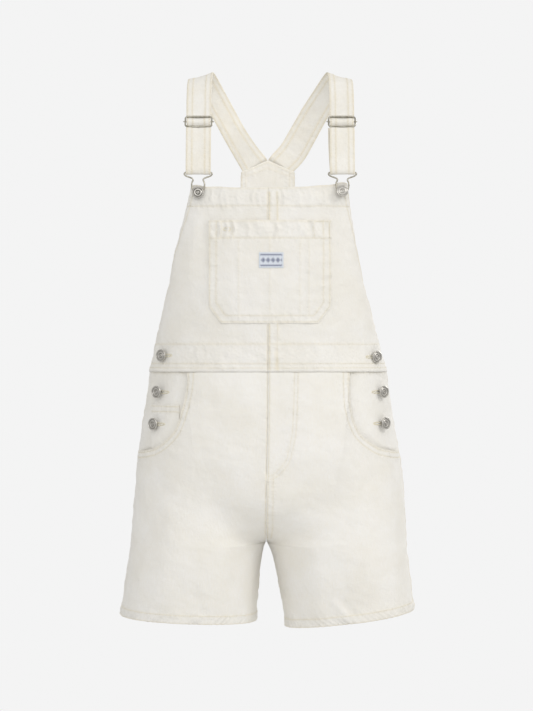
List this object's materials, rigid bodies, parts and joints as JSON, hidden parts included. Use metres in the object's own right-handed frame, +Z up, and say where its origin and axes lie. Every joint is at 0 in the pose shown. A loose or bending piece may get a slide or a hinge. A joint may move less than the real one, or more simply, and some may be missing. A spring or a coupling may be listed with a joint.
{
  "type": "shortalls",
  "caption": "Denim bib shorts with crossed back straps, wire hooks and sliders, a bib patch pocket, scoop pockets and buttoned sides, in their worn hollow form.",
  "frame": {"origin": "midway between the crowns of the two straps, where they lie on the wearer's shoulders", "axes": "+Z up along the height, -Y out of the front, +X to the right of someone looking at the front"},
  "size_m": [0.41, 0.2601, 0.7735],
  "materials": {
    "denim": "matte twill, ecru",
    "strap_denim": "matte twill, ecru",
    "label": "woven, pale with small navy figures",
    "button_metal": "satin nickel",
    "wire_metal": "old nickel"
  },
  "bodies": {
    "root": {"bib_left": "denim", "bib_right": "denim", "bib_pocket": "denim", "front_leg_left": "denim", "front_leg_right": "denim", "pocket_facing_left": "denim", "pocket_facing_right": "denim", "coin_pocket": "denim", "back_bib": "denim", "back_leg_left": "denim", "back_leg_right": "denim", "strap_left": "strap_denim", "strap_right": "strap_denim", "label": "label", "bib_button_left": "button_metal", "bib_button_right": "button_metal", "side_button_left_1": "button_metal", "side_button_left_2": "button_metal", "side_button_left_3": "button_metal", "side_button_right_1": "button_metal", "side_button_right_2": "button_metal", "side_button_right_3": "button_metal", "slider_left": "wire_metal", "slider_right": "wire_metal", "hook_left": "wire_metal", "hook_right": "wire_metal"}
  },
  "joints": []
}
